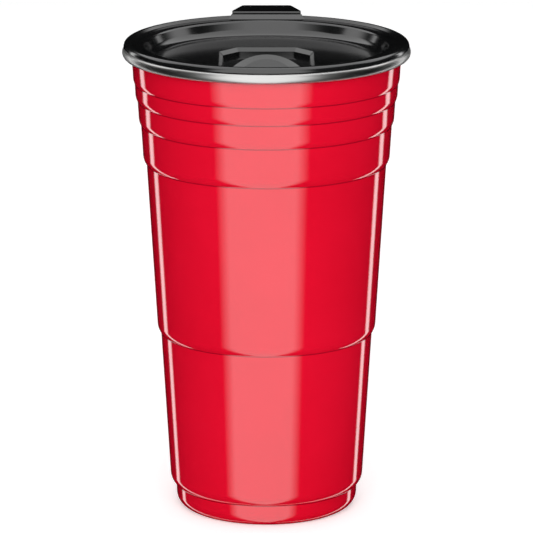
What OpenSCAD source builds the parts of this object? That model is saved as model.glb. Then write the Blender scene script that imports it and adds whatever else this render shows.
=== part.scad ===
// Insulated tumbler: a stepped double-wall steel cup with a press-in lid and a sliding closure.
// Millimetres, +Z up. The origin is the centre of the ring that the cup stands on.
// The drinking side is -Y and the thumb tab is +Y.

/* [Cup body] */
// Height of the top of the rolled rim above the base
cup_h = 171.2; // [150:0.1:200]
// Outer diameter of the rolled rim
rim_d = 103.8; // [94:0.1:116]
// Thickness of the steel sheet of both walls
sheet_t = 0.6; // [0.4:0.05:0.9]
// Slope of the outer wall, in degrees from upright
wall_taper = 3.45; // [2:0.05:4.5]
// Radius of the rounded shoulder above every step
shoulder_r = 5.2; // [3:0.1:8]
// Narrowest empty space between the two walls
vacuum_gap = 1; // [0.6:0.1:2]

/* [Steps] */
// First step, measured down from the top of the rim
step_1_down = 13.4; // [12:0.1:16]
// Second step, measured down from the top of the rim
step_2_down = 19.9; // [18:0.1:24]
// Third step, measured down from the top of the rim
step_3_down = 28.6; // [26:0.1:34]
// Fourth step, measured down from the top of the rim
step_4_down = 43; // [38:0.1:52]
// Height of the grip step above the base
step_5_up = 65.5; // [40:0.1:90]
// Height of the foot step above the base
step_6_up = 8.2; // [6.5:0.1:14]
// Depth of the first ledge
ledge_1 = 0.41; // [0.3:0.01:0.8]
// Depth of the second ledge
ledge_2 = 0.63; // [0.4:0.01:1]
// Depth of the third ledge
ledge_3 = 0.66; // [0.4:0.01:1]
// Depth of the fourth ledge
ledge_4 = 1.06; // [0.6:0.01:1.6]
// Depth of the grip ledge
ledge_5 = 1.1; // [0.6:0.01:1.6]
// Depth of the foot ledge
ledge_6 = 1.8; // [0.8:0.01:2]

/* [Rim] */
// Radius of the round roll at the rim
roll_r = 2.1; // [2:0.1:2.6]
// Radius of the lip's inner curve, from the mouth up to the top of the roll
lip_r = 4.2; // [3.6:0.1:5]
// How far the top of the outer wall lies inside the centre of the roll
wall_tuck = 1.25; // [1:0.01:1.4]
// How far the top edge of the outer wall stops below the top of the rim
wall_stop = 2.5; // [2.3:0.1:2.8]
// Depth of the straight mouth below the top of the rim
mouth_depth = 13.6; // [13.4:0.1:18]
// Height of the curved step below the mouth
mouth_step_h = 4.6; // [3.5:0.1:8]
// Rounding of the step below the mouth
mouth_round = 4; // [2:0.1:6]

/* [Base] */
// Rounding of the outer bottom edge
base_round = 4.6; // [1.5:0.1:5]
// Width of the foot from the bottom of the wall to the recess
foot_w = 6.6; // [6:0.1:9]
// Rounding of the foot's inner edge
foot_round = 1.2; // [0.9:0.1:1.5]
// Height of the recess under the cup
recess_h = 3.2; // [2.9:0.1:4]
// Height of the flange around the bottom cap
cap_flange_h = 2.2; // [1.2:0.1:2.4]
// Height of the drinking space's floor above the base
floor_up = 7.2; // [6:0.1:10]
// Rounding between the inner wall and its floor
floor_round = 7; // [4:0.1:12]
// Diameter of the pumping hole in the bottom cap
pump_hole_d = 2.4; // [1.5:0.1:3.5]
// Diameter of the bead that seals the pumping hole
seal_d = 6; // [5:0.1:8]
// How far the bead stands below the bottom cap
seal_h = 1.1; // [0.6:0.1:1.5]
// Diameter of the getter capsule
getter_d = 8; // [5:0.1:10]
// Height of the getter capsule
getter_h = 1.6; // [1:0.1:2]
// Distance of the getter capsule from the centre
getter_off = 12; // [9:0.1:18]

/* [Lid] */
// Clearance between the lid and the steel, all round
lid_gap = 0.3; // [0.2:0.05:0.4]
// How far the edge of the lid stays inside the rim
lid_inset = 0.5; // [0.3:0.05:0.6]
// How far the edge of the lid wraps down over the roll, in degrees
wrap_angle = 35; // [20:1:45]
// Height of the lid's raised edge above the rim
crown_h = 1.8; // [1.6:0.05:2.2]
// Width of the lid's raised edge
crown_w = 3.1; // [3.1:0.1:4]
// Run of the slope from the raised edge down to the flat ring
crown_slope = 0.8; // [0.5:0.1:0.9]
// Rounding of the raised edge's outside
edge_round = 1.8; // [1:0.05:1.8]
// Rounding of the raised edge's inside
crown_round = 0.7; // [0.4:0.05:0.8]
// Rounding where the raised edge meets the flat ring
crown_foot = 0.5; // [0.3:0.05:0.8]
// Height of the flat ring inside the raised edge, above the rim
ring_h = 0.8; // [0.6:0.05:1.1]
// Width of the flat ring
ring_w = 4.4; // [3.5:0.1:6]
// Depth of the bowl below the flat ring
bowl_depth = 5.2; // [4:0.1:6.5]
// Rounding at the top of the bowl's wall
bowl_edge = 1.6; // [0.8:0.1:2.5]
// How far the bowl's wall leans in from top to bottom
bowl_lean = 3; // [2:0.1:4]
// Rounding at the foot of the bowl's wall
bowl_round = 4.5; // [2:0.1:5]
// Thickness of the lid's walls
lid_t = 1.8; // [1.4:0.1:2.2]
// Rounding under the foot of the bowl's wall
under_round = 3; // [1:0.1:4]
// Thickness of the skirt that plugs the mouth
skirt_t = 2; // [1.8:0.1:2.4]
// Rounding of the skirt's lower edge
skirt_round = 0.6; // [0.3:0.05:0.8]
// Depth of the skirt below the top of the rim
skirt_depth = 12.6; // [11:0.1:13]
// Height of the gasket
gasket_h = 3; // [2.5:0.1:3.5]
// Depth of the groove that holds the gasket
groove_depth = 1.1; // [0.8:0.05:1.2]
// Middle of the gasket, measured down from the top of the rim
gasket_down = 8; // [7:0.1:9.5]
// Height of the slopes above and below the gasket's nose
nose_slope = 0.9; // [0.5:0.05:1.1]
// Running clearance between the gasket and the mouth
gasket_gap = 0.05; // [0.02:0.01:0.1]

/* [Thumb tab] */
// How far the tab reaches past the edge of the lid
tab_over = 10.5; // [7:0.1:13]
// Width of the tab where it leaves the lid
tab_w = 25.4; // [22:0.1:28]
// Width of the tab's straight tip
tab_tip_w = 18.3; // [12:0.1:21]
// Rounding of the tab's tip, seen from above
tip_round = 1.5; // [0.5:0.1:3]
// Width of the tab's flared root
tab_root_w = 28.8; // [28:0.1:34]
// Height of the top of the tab above the rim
tab_top = 3.2; // [2.9:0.1:4]
// Thickness of the tab past the edge of the lid
tab_t = 2.2; // [1.8:0.1:2.6]
// Length of the tab's top face
tab_len = 13.4; // [11:0.1:14]
// Length of the ramp from the flat ring up to the tab
tab_ramp = 2.8; // [2:0.1:3.5]
// Height of the ramp
tab_ramp_h = 1.5; // [1.2:0.1:2]
// Rounding of the tab's edges, seen from the side
tab_round = 0.5; // [0.3:0.05:0.8]

/* [Closure] */
// Width of the pocket that the closure slides in
pocket_w = 31.6; // [27:0.1:36]
// Length of the pocket
pocket_len = 51; // [48:0.1:56]
// Depth of the pocket below the bowl's floor
pocket_depth = 2.6; // [2.2:0.1:3]
// Distance from the foot of the bowl's wall to the pocket's front
pocket_front = 4.4; // [4:0.1:8]
// Length of the pocket's rear corner cuts
corner_len = 7; // [5:0.1:10]
// Width of the pocket's rear corner cuts
corner_w = 5.8; // [3:0.1:8]
// Thickness of the pocket's floor
pocket_t = 1.5; // [1.2:0.1:2]
// Rounding of the pocket's front corners
front_round = 5; // [2:0.1:7]
// Rounding of the pocket's rear corners
rear_round = 1.2; // [0.6:0.1:2]
// Clearance beside the sliding plate
side_gap = 0.3; // [0.2:0.05:0.5]
// Clearance above and below the sliding plate
slide_gap = 0.2; // [0.15:0.05:0.3]
// Length of the sliding plate
plate_len = 34.9; // [33:0.1:38]
// Thickness of the sliding plate
plate_t = 1.5; // [1.2:0.1:1.8]
// Width of the drinking slot
drink_w = 20; // [14:0.1:24]
// Length of the drinking slot
drink_len = 6; // [4.5:0.1:7]
// Distance from the pocket's front to the drinking slot
drink_front = 0.9; // [0.6:0.1:1.5]
// Web between the drinking slot and the guide slot
guide_web = 2.3; // [1.5:0.1:4]
// Width of the closure's stem
stem_w = 5; // [4:0.1:7]
// Length of the closure's stem
stem_len = 6; // [5.5:0.1:8]
// Radius of the thumb grip's round top
grip_r = 20.4; // [15:0.1:24]
// Height of the thumb grip above the plate
grip_h = 4.8; // [3:0.1:6]
// Thickness of the thumb grip
grip_t = 4; // [3.5:0.1:7]
// How far the thumb grip's front leans back over its height
grip_lean = 2.5; // [1:0.1:3]
// Fall of the thumb grip's top towards its front, in degrees
grip_fall = 30; // [10:1:35]
// Distance from the plate's front to the thumb grip
grip_front = 15; // [9:0.1:18]
// Thickness of the clip under the lid
clip_t = 1.4; // [1:0.1:1.8]
// Margin of the clip around the stem
clip_rim = 3; // [2:0.1:4]
// Margin of the stem's head around the stem
head_rim = 0.9; // [0.5:0.1:1.5]
// Thickness of the stem's head
head_t = 0.8; // [0.6:0.1:1.2]

/* [Hidden] */
$fn = 128;
lacquer_red = [0.84, 0.01, 0.11];
bare_steel = [0.80, 0.81, 0.81];
smoke_black = [0.10, 0.11, 0.11];
seal_grey = [0.35, 0.36, 0.37];
getter_grey = [0.45, 0.44, 0.42];
arc_steps = 8;

// Directions of the outer wall in its section: up along it and straight out of it
wall_up = [sin(wall_taper), cos(wall_taper)];
wall_out = [cos(wall_taper), -sin(wall_taper)];
wall_slope = tan(wall_taper);

// Rolled rim
rim_r = rim_d / 2;
roll_c = [rim_r - roll_r, cup_h - roll_r];
lip_c = [roll_c[0], cup_h - lip_r];
mouth_r = roll_c[0] - lip_r;
wall_top = [roll_c[0] - wall_tuck, cup_h - wall_stop];

// Heights and radii of the sharp inner corners of the steps
step_z = [
    cup_h - step_1_down, cup_h - step_2_down, cup_h - step_3_down,
    cup_h - step_4_down, step_5_up, step_6_up
];
ledges = [ledge_1, ledge_2, ledge_3, ledge_4, ledge_5, ledge_6];
function ledge_sum(i) = i < 0 ? 0 : ledges[i] + ledge_sum(i - 1);
function wall_r(z, steps_above) = wall_top[0] - (wall_top[1] - z) * wall_slope - ledge_sum(steps_above - 1);
step_r = [for (i = [0:len(ledges) - 1]) wall_r(step_z[i], i + 1)];
foot_r = wall_r(0, len(ledges));
recess_r = foot_r - foot_w;

// The inner wall keeps the vacuum gap at the fourth and fifth steps
wall_pair = 2 * sheet_t + vacuum_gap;
liner_slope = (step_r[3] - step_r[4]) / (step_z[3] - step_z[4]);
function liner_r(z) = step_r[4] - wall_pair + (z - step_z[4]) * liner_slope;
mouth_end = cup_h - mouth_depth;
cone_top = mouth_end - mouth_step_h;

// Lid
lid_r = rim_r - lid_inset;
crown_z = cup_h + crown_h;
ring_z = cup_h + ring_h;
crown_in = lid_r - crown_w;
bowl_r = crown_in - ring_w;
bowl_z = ring_z - bowl_depth;
bowl_foot_r = bowl_r - bowl_lean;
lean_angle = atan2(bowl_depth, bowl_lean);
floor_r = bowl_foot_r - bowl_round * tan(lean_angle / 2);
skirt_r = mouth_r - lid_gap;
skirt_in = skirt_r - skirt_t;
skirt_z = cup_h - skirt_depth;
gasket_z = cup_h - gasket_down;
groove_r = skirt_r - groove_depth;
lid_under = bowl_z - lid_t;
under_shift = lid_t / sin(lean_angle);
function lean_r(z) = bowl_r + under_shift - (ring_z - z) / tan(lean_angle);
skirt_top = ring_z - (bowl_r + under_shift - skirt_in) * tan(lean_angle);
wrap_end = roll_c + (roll_r + lid_gap) * [sin(wrap_angle), cos(wrap_angle)];
edge_r = min(edge_round, crown_h);

// Thumb tab
tab_end = lid_r + tab_over;
tab_z = cup_h + tab_top;
tab_start = tab_end - tab_len;
tab_foot = tab_start - tab_ramp;
tab_back = crown_in + crown_slope;

// Closure, in its closed position
pocket_y = -(floor_r - pocket_front);
pocket_end = pocket_y + pocket_len;
pocket_z = bowl_z - pocket_depth;
pocket_under = pocket_z - pocket_t;
plate_y = pocket_y + side_gap;
plate_end = plate_y + plate_len;
plate_z = pocket_z + slide_gap;
plate_top = plate_z + plate_t;
travel = pocket_end - side_gap - plate_end;
drink_y = pocket_y + drink_front;
stem_y = drink_y + drink_len + guide_web + side_gap;
stem_end = stem_y + stem_len;
clip_z = pocket_under - slide_gap - clip_t;
grip_y = plate_y + grip_front;

// Unit vector, and the vector turned a quarter turn to the left
function unit(v) = v / norm(v);
function left(v) = [-v[1], v[0]];

// Points on an arc from angle a to angle b, both ends included
function arc(c, r, a, b, n = arc_steps) = [
    for (i = [0:n]) let (t = a + (b - a) * i / n) c + r * [cos(t), sin(t)]
];

// The arc that rounds corner b, between its neighbours a and c
function corner(a, b, c, r) =
    let (u = unit(a - b), v = unit(c - b), half = acos(u * v) / 2)
    let (o = b + unit(u + v) * r / sin(half), p = b + u * r / tan(half) - o)
    let (turn = (u[0] * v[1] - u[1] * v[0] > 0 ? -1 : 1) * (180 - 2 * half), s = atan2(p[1], p[0]))
    arc(o, r, s, s + turn);

// An open line of [x, y, rounding] corners as points
function xy(p) = [p[0], p[1]];
function corner_of(a, b, c) = b[2] == 0 ? [xy(b)] : corner(xy(a), xy(b), xy(c), b[2]);
function rounded(line) = [
    for (i = [0:len(line) - 1])
        each i == 0 || i == len(line) - 1 ? [xy(line[i])] : corner_of(line[i - 1], line[i], line[i + 1])
];

// A closed outline of [x, y, rounding] corners as points
function rounded_loop(loop) =
    let (n = len(loop))
    [for (i = [0:n - 1]) each corner_of(loop[(i + n - 1) % n], loop[i], loop[(i + 1) % n])];

// An open line of points moved t to its left, with mitred corners
function moved(line, t) = [
    for (i = [0:len(line) - 1])
        let (a = left(unit(line[max(i, 1)] - line[max(i, 1) - 1])))
        let (k = min(i, len(line) - 2), b = left(unit(line[k + 1] - line[k])))
        line[i] + t * (a + b) / (1 + a * b)
];

// The same line backwards, and without its first point
function reversed(line) = [for (i = [len(line) - 1:-1:0]) line[i]];
function tail(line) = [for (i = [1:len(line) - 1]) line[i]];

// Where a circle of radius r about the roll's centre meets the outer face of the wall, below that centre
function on_wall(r) =
    let (d = (roll_c - wall_top) * wall_out)
    roll_c - d * wall_out - sqrt(r * r - d * d) * wall_up;
function roll_angle(p) = atan2(p[1] - roll_c[1], p[0] - roll_c[0]);

// Rounded shoulder that leaves the wall above and ends in the corner of step i
function shoulder(i) =
    let (e = ledges[i] * cos(wall_taper), k = [step_r[i], step_z[i]])
    let (h = sqrt(2 * shoulder_r * e - e * e))
    let (o = k + h * wall_up - (shoulder_r - e) * wall_out, sweep = asin(h / shoulder_r))
    arc(o, shoulder_r, -wall_taper, -wall_taper - sweep);

// Outer face of the shell, from its top edge down and around the foot into the recess
shell_line = concat(
    [wall_top],
    [for (i = [0:len(ledges) - 1]) each shoulder(i)],
    tail(rounded([
        [step_r[5], step_z[5], 0],
        [foot_r, 0, base_round],
        [recess_r, 0, foot_round],
        [recess_r, recess_h, 0]
    ]))
);

// Inner face of the liner, from the foot of the roll over the rim and down to the floor's centre
liner_line = concat(
    arc(roll_c, roll_r, roll_angle(on_wall(roll_r)), 90, 2 * arc_steps),
    tail(arc(lip_c, lip_r, 90, 180)),
    tail(rounded([
        [mouth_r, lip_c[1], 0],
        [mouth_r, mouth_end, mouth_round],
        [liner_r(cone_top), cone_top, mouth_round],
        [liner_r(floor_up), floor_up, floor_round],
        [0, floor_up, 0]
    ]))
);

// Racetrack along X or along Y, from the lowest corner to the highest
module racetrack_x(w, y0, y1) {
    r = (y1 - y0) / 2;
    translate([-w / 2 + r, y0]) square([w - 2 * r, 2 * r]);
    for (s = [-1, 1]) translate([s * (w / 2 - r), y0 + r]) circle(r);
}

module racetrack_y(w, y0, y1) {
    r = w / 2;
    translate([-r, y0 + r]) square([w, y1 - y0 - w]);
    for (y = [y0 + r, y1 - r]) translate([0, y]) circle(r);
}

// Outline of the pocket or the plate: square at the front, with cut corners at the rear
module slide_outline(y0, y1, half) {
    polygon(rounded_loop([
        [-half, y0, front_round],
        [half, y0, front_round],
        [half, y1 - corner_len, rear_round],
        [half - corner_w, y1, rear_round],
        [corner_w - half, y1, rear_round],
        [-half, y1 - corner_len, rear_round]
    ]));
}

module outer_shell() {
    color(lacquer_red) rotate_extrude() polygon(concat(shell_line, reversed(moved(shell_line, -sheet_t))));
}

module inner_liner() {
    back = tail(moved(liner_line, sheet_t));
    seam = [on_wall(roll_r - sheet_t)];
    color(bare_steel) rotate_extrude() polygon(concat(liner_line, reversed(back), seam));
}

module base_cap() {
    color(bare_steel) difference() {
        translate([0, 0, recess_h - cap_flange_h]) cylinder(r = recess_r, h = cap_flange_h);
        translate([0, 0, recess_h - sheet_t - 2 * cap_flange_h])
            cylinder(r = recess_r - sheet_t, h = 2 * cap_flange_h);
        cylinder(d = pump_hole_d, h = 2 * recess_h);
    }
}

module getter() {
    color(getter_grey) translate([getter_off, 0, recess_h]) cylinder(d = getter_d, h = getter_h);
}

module seal_bead() {
    color(seal_grey) rotate_extrude() polygon(concat(
        [[0, recess_h], [pump_hole_d / 2, recess_h], [pump_hole_d / 2, recess_h - sheet_t]],
        [for (t = [0:10:90]) [seal_d / 2 * cos(t), recess_h - sheet_t - seal_h * sin(t)]]
    ));
}

// Moulded disc with its raised edge, bowl and skirt
module lid_disc() {
    top = rounded([
        [lid_r, wrap_end[1], 0],
        [lid_r, crown_z, edge_r],
        [crown_in + crown_slope, crown_z, crown_round],
        [crown_in, ring_z, crown_foot],
        [bowl_r, ring_z, bowl_edge],
        [bowl_foot_r, bowl_z, bowl_round],
        [0, bowl_z, 0]
    ]);
    under = rounded([
        [0, lid_under, 0],
        [lean_r(lid_under), lid_under, under_round],
        [skirt_in, skirt_top, 0],
        [skirt_in, skirt_z, skirt_round],
        [skirt_r, skirt_z, skirt_round],
        [skirt_r, gasket_z - gasket_h / 2, 0],
        [groove_r, gasket_z - gasket_h / 2, 0],
        [groove_r, gasket_z + gasket_h / 2, 0],
        [skirt_r, gasket_z + gasket_h / 2, 0]
    ]);
    rotate_extrude() polygon(concat(
        top,
        under,
        arc(lip_c, lip_r + lid_gap, 180, 90),
        tail(arc(roll_c, roll_r + lid_gap, 90, 90 - wrap_angle))
    ));
}

// One layer of the tab: its outline from above, cut to its profile from the side
module tab_layer(profile) {
    intersection() {
        translate([0, 0, skirt_z]) linear_extrude(tab_z) children();
        rotate([90, 0, 90]) translate([0, 0, -tab_root_w]) linear_extrude(2 * tab_root_w) polygon(profile);
    }
}

// Thumb tab on its wider, lower root
module lid_tab() {
    sink = ring_z - crown_foot;
    tab_layer(rounded_loop([
        [tab_foot, sink, 0],
        [tab_foot, ring_z, 0],
        [tab_start - tab_round, ring_z + tab_ramp_h, tab_round],
        [tab_start, tab_z, tab_round],
        [tab_end, tab_z, tab_round],
        [tab_end, tab_z - tab_t, tab_round],
        [tab_back, tab_z - tab_t, 0],
        [tab_back, sink, 0]
    ])) polygon(rounded_loop([
        [-tab_w / 2, 0, 0],
        [-tab_w / 2, lid_r, 0],
        [-tab_tip_w / 2, tab_end, tip_round],
        [tab_tip_w / 2, tab_end, tip_round],
        [tab_w / 2, lid_r, 0],
        [tab_w / 2, 0, 0]
    ]));
    tab_layer([
        [tab_foot, sink],
        [tab_foot, ring_z],
        [tab_start - tab_round, ring_z + tab_ramp_h],
        [tab_back, ring_z + tab_ramp_h],
        [tab_back, sink]
    ]) polygon([
        [-tab_root_w / 2, 0],
        [-tab_root_w / 2, tab_foot],
        [-tab_w / 2, tab_back],
        [tab_w / 2, tab_back],
        [tab_root_w / 2, tab_foot],
        [tab_root_w / 2, 0]
    ]);
}

module lid_body() {
    color(smoke_black) difference() {
        union() {
            lid_disc();
            lid_tab();
            translate([0, 0, pocket_under]) linear_extrude(lid_under + lid_t / 2 - pocket_under)
                slide_outline(pocket_y - lid_t, pocket_end + lid_t, pocket_w / 2 + lid_t);
        }
        translate([0, 0, pocket_z]) linear_extrude(bowl_depth + pocket_depth)
            slide_outline(pocket_y, pocket_end, pocket_w / 2);
        translate([0, 0, skirt_z]) linear_extrude(bowl_z - skirt_z) {
            racetrack_x(drink_w, drink_y, drink_y + drink_len);
            racetrack_y(stem_w + 2 * side_gap, stem_y - side_gap, stem_end + travel + side_gap);
        }
    }
}

module lid_gasket() {
    nose_r = mouth_r - gasket_gap;
    low = gasket_z - gasket_h / 2;
    high = gasket_z + gasket_h / 2;
    color(seal_grey) rotate_extrude() polygon(rounded([
        [groove_r, low, 0],
        [skirt_r, low, 0],
        [nose_r, low + nose_slope, nose_slope / 4],
        [nose_r, high - nose_slope, nose_slope / 4],
        [skirt_r, high, 0],
        [groove_r, high, 0]
    ]));
}

module slider() {
    color(smoke_black) {
        translate([0, 0, plate_z]) linear_extrude(plate_t)
            slide_outline(plate_y, plate_end, pocket_w / 2 - side_gap);
        intersection() {
            translate([0, grip_y + grip_t, plate_top + grip_h - grip_r / cos(grip_fall)])
                rotate([90 + grip_fall, 0, 0]) cylinder(r = grip_r, h = 2 * grip_r, center = true);
            rotate([90, 0, 90]) linear_extrude(2 * grip_r, center = true) polygon([
                [grip_y, plate_z + plate_t / 2],
                [grip_y, plate_top],
                [grip_y + grip_lean, plate_top + grip_h],
                [grip_y + grip_t, plate_top + grip_h],
                [grip_y + grip_t, plate_z + plate_t / 2]
            ]);
        }
        translate([0, 0, clip_z]) linear_extrude(plate_z + plate_t / 2 - clip_z)
            racetrack_y(stem_w, stem_y, stem_end);
        translate([0, 0, clip_z - head_t]) linear_extrude(head_t)
            racetrack_y(stem_w + 2 * head_rim, stem_y - head_rim, stem_end + head_rim);
    }
}

module slider_clip() {
    half = stem_w / 2 + clip_rim;
    color(smoke_black) translate([0, 0, clip_z]) linear_extrude(clip_t) difference() {
        polygon(rounded_loop([
            [-half, stem_y - clip_rim, clip_rim / 2],
            [half, stem_y - clip_rim, clip_rim / 2],
            [half, stem_end + clip_rim, clip_rim / 2],
            [-half, stem_end + clip_rim, clip_rim / 2]
        ]));
        racetrack_y(stem_w, stem_y, stem_end);
    }
}

outer_shell();
inner_liner();
base_cap();
getter();
seal_bead();
lid_body();
lid_gasket();
slider();
slider_clip();
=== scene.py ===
"""Looks of the insulated cup: a lacquered steel cup, its smoke-black lid and the sliding closure."""

import logging
import math
from dataclasses import dataclass
from enum import Enum
from typing import Sequence, Union

import bmesh
import bpy
from mathutils import Matrix, Vector


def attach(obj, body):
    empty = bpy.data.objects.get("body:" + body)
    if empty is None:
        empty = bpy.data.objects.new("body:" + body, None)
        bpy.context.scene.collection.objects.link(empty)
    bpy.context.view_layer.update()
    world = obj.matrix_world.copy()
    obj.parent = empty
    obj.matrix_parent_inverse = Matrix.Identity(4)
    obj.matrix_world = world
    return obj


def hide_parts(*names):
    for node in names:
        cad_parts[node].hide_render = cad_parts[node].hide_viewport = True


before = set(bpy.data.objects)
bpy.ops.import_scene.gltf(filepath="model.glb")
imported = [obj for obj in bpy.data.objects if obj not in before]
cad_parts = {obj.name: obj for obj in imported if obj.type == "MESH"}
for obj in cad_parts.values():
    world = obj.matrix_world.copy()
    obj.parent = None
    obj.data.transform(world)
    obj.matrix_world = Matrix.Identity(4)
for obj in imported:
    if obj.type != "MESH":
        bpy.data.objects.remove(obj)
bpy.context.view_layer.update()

MM = 0.001
LATHE_STEPS = 192
ARC_STEPS = 8
# Points nearer than this are one point, in millimetres
SAME_PLACE = 1e-4
# Edges shorter than this go, in millimetres
SLIVER = 1e-5
# How near its circle a turned vertex lies, in millimetres
TURNED_NEAR = 0.01
# Share of a slot's half width that rounds its ends, so that no straight between two arcs is empty
ROUND_END = 0.999
WHITE = (1.0, 1.0, 1.0, 1.0)
BLACK = (0.0, 0.0, 0.0, 1.0)

Point = tuple[float, float]
Span = tuple[float, float]
Place = tuple[float, float, float]
Colour = tuple[float, float, float, float]
Value = Union["Wire", float, tuple]

log = logging.getLogger("insulated_cup")


class Wire:
    """What leaves a node's socket. Arithmetic on wires adds Math nodes."""

    def __init__(self, bench: "Bench", socket: bpy.types.NodeSocket) -> None:
        """Keep the socket and the bench that its node lies on.

        Args:
            bench: The node tree's bench.
            socket: The output socket.
        """
        self.bench = bench
        self.socket = socket

    def _maths(self, operation: str, *inputs: Value) -> "Wire":
        """Add one Math node.

        Args:
            operation: The Math node's operation.
            inputs: Its inputs, in order.

        Returns:
            The node's result.
        """
        return self.bench.wire("ShaderNodeMath", {"operation": operation}, dict(enumerate(inputs)))

    def __add__(self, other: Value) -> "Wire":
        """Return the sum."""
        return self._maths("ADD", self, other)

    def __radd__(self, other: Value) -> "Wire":
        """Return the sum, from the right."""
        return self._maths("ADD", other, self)

    def __sub__(self, other: Value) -> "Wire":
        """Return the difference."""
        return self._maths("SUBTRACT", self, other)

    def __rsub__(self, other: Value) -> "Wire":
        """Return the difference, from the right."""
        return self._maths("SUBTRACT", other, self)

    def __mul__(self, other: Value) -> "Wire":
        """Return the product."""
        return self._maths("MULTIPLY", self, other)

    def __rmul__(self, other: Value) -> "Wire":
        """Return the product, from the right."""
        return self._maths("MULTIPLY", other, self)

    def __truediv__(self, other: Value) -> "Wire":
        """Return the quotient."""
        return self._maths("DIVIDE", self, other)

    def __pow__(self, other: Value) -> "Wire":
        """Return the power."""
        return self._maths("POWER", self, other)

    def __abs__(self) -> "Wire":
        """Return the size without its sign."""
        return self._maths("ABSOLUTE", self)

    def __or__(self, other: Value) -> "Wire":
        """Return the larger of the two, which joins two masks."""
        return self._maths("MAXIMUM", self, other)


class Bench:
    """The node tree of one material or world."""

    def __init__(self, tree: bpy.types.NodeTree) -> None:
        """Clear the tree.

        Args:
            tree: The node tree to work on.
        """
        self.tree = tree
        tree.nodes.clear()

    def node(self, kind: str, settings: dict | None = None, values: dict | None = None) -> bpy.types.Node:
        """Add one node of any type.

        Args:
            kind: The node's type.
            settings: Its settings, set first. "stops" holds a ramp's positions and colours.
            values: Values or wires, by socket name or number.

        Returns:
            The new node.
        """
        made = self.tree.nodes.new(kind)
        for name, setting in (settings or {}).items():
            if name == "stops":
                while len(made.color_ramp.elements) < len(setting):
                    made.color_ramp.elements.new(0.5)
                for element, (position, colour) in zip(made.color_ramp.elements, setting):
                    element.position = position
                    element.color = colour
            else:
                setattr(made, name, setting)
        for name, value in (values or {}).items():
            if isinstance(value, Wire):
                self.tree.links.new(value.socket, made.inputs[name])
            else:
                made.inputs[name].default_value = value
        return made

    def wire(self, kind: str, settings: dict | None = None, values: dict | None = None,
             output: Union[int, str] = 0) -> Wire:
        """Add one node and take what leaves it.

        Args:
            kind: The node's type.
            settings: Its settings.
            values: Its sockets' values or wires.
            output: The output socket's name or number.

        Returns:
            The output as a wire.
        """
        return Wire(self, self.node(kind, settings, values).outputs[output])

    def place(self) -> Wire:
        """Return the place on the object, in metres."""
        return self.wire("ShaderNodeTexCoord", output="Object")

    def axes(self, place: Wire) -> tuple[Wire, Wire, Wire]:
        """Split a place into its three coordinates.

        Args:
            place: The place to split.

        Returns:
            The wires of x, y and z.
        """
        made = self.node("ShaderNodeSeparateXYZ", {}, {0: place})
        return Wire(self, made.outputs[0]), Wire(self, made.outputs[1]), Wire(self, made.outputs[2])

    def angle(self, side: Wire, along: Wire) -> Wire:
        """Measure the angle of a right triangle.

        Args:
            side: The side across from the angle.
            along: The side beside the angle.

        Returns:
            The angle in degrees.
        """
        turned = self.wire("ShaderNodeMath", {"operation": "ARCTAN2"}, {0: side, 1: along})
        return turned * (180.0 / math.pi)

    def noise(self, place: Wire, scale: float, detail: float = 2.0,
              stretch: tuple[float, float, float] = (1.0, 1.0, 1.0)) -> Wire:
        """Read a smooth random pattern.

        Args:
            place: Where to read it.
            scale: Features per metre.
            detail: Finer octaves.
            stretch: Further scale along each axis.

        Returns:
            A wire from 0 to 1.
        """
        settings = {"vector_type": "POINT"}
        where = self.wire("ShaderNodeMapping", settings, {"Vector": place, "Scale": stretch})
        return self.wire("ShaderNodeTexNoise", {}, {"Vector": where, "Scale": scale, "Detail": detail})

    def ramp(self, value: Wire, low: float, high: float) -> Wire:
        """Turn a value into a soft mask.

        Args:
            value: The value to read.
            low: Where the mask is 0.
            high: Where the mask is 1.

        Returns:
            The mask.
        """
        settings = {"interpolation_type": "SMOOTHSTEP"}
        return self.wire("ShaderNodeMapRange", settings, {0: value, 1: low, 2: high, 3: 0.0, 4: 1.0})

    def blend(self, mask: Wire, first: Value, second: Value) -> Wire:
        """Mix two colours.

        Args:
            mask: 0 for the first colour and 1 for the second.
            first: The first colour.
            second: The second colour.

        Returns:
            The mixed colour.
        """
        return self.wire("ShaderNodeMix", {"data_type": "RGBA"}, {0: mask, 6: first, 7: second}, 2)

    def relief(self, height: Wire, depth: float, strength: float = 1.0) -> Wire:
        """Turn a height pattern into a surface normal.

        Args:
            height: The pattern from 0 to 1.
            depth: Its depth in metres.
            strength: How strongly it shows.

        Returns:
            The bumped normal.
        """
        values = {"Strength": strength, "Distance": depth, "Height": height}
        return self.wire("ShaderNodeBump", {}, values)


@dataclass(frozen=True)
class Finish:
    """A surface finish, which builds its own material."""

    name: str
    slot: str

    def sockets(self, bench: Bench) -> dict[str, Value]:
        """Return the values of the surface shader's sockets.

        Args:
            bench: The bench of the material.

        Returns:
            Values or wires by socket name.
        """
        raise NotImplementedError

    def material(self) -> bpy.types.Material:
        """Build the finish's material on first use.

        Returns:
            The material.
        """
        made = bpy.data.materials.get(self.name)
        if made is None:
            made = bpy.data.materials.new(self.name)
            made.use_nodes = True
            bench = Bench(made.node_tree)
            surface = bench.wire("ShaderNodeBsdfPrincipled", {}, self.sockets(bench))
            bench.node("ShaderNodeOutputMaterial", {}, {"Surface": surface})
        return made


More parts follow.
